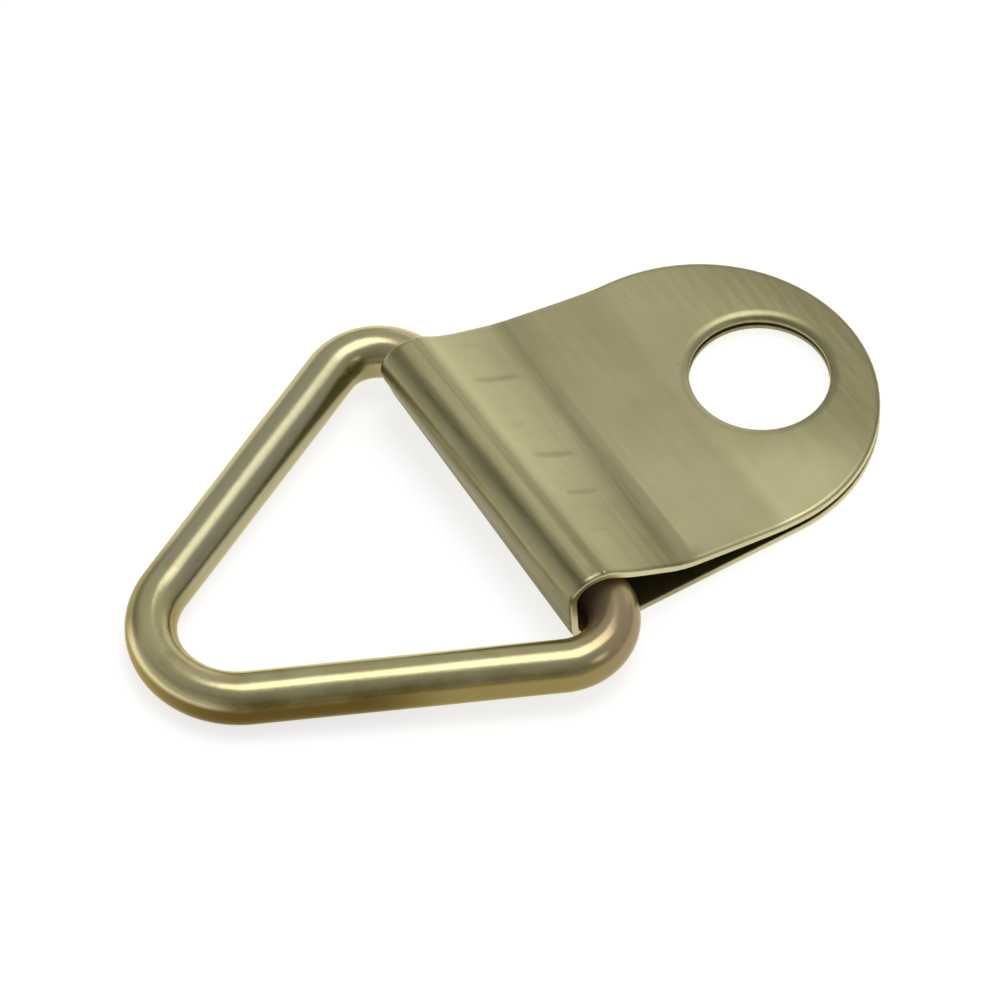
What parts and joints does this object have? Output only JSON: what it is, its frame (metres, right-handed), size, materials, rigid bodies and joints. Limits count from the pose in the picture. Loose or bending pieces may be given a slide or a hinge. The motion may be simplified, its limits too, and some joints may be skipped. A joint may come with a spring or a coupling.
{
  "type": "triangle picture hanger",
  "caption": "Folded metal strap with a screw hole, holding a rounded triangular wire ring that swings, for hanging a picture frame from a cord or hook.",
  "frame": {"origin": "below the middle of the whole hanger, on the plane its back lies on, with the ring stretched out", "axes": "+X along the ring's base bar, across the strap; +Y from the ring towards the round end of the leaves; +Z out of the front face"},
  "size_m": [0.014, 0.0236, 0.0026],
  "materials": {
    "strap_plating": "thin pale brass plating on stamped sheet, finely brushed across the strap, satin gloss",
    "ring_plating": "thin pale brass plating on drawn wire, glossy"
  },
  "bodies": {
    "strap": {"folded_strap": "strap_plating"},
    "ring": {"triangle_ring": "ring_plating"}
  },
  "joints": [
    {"name": "ring_swing", "type": "hinge", "parent": "strap", "child": "ring", "pos_m": [0, 0.00048, 0.00115], "axis": [-1, 0, 0], "range_deg": [-144, 170]}
  ]
}
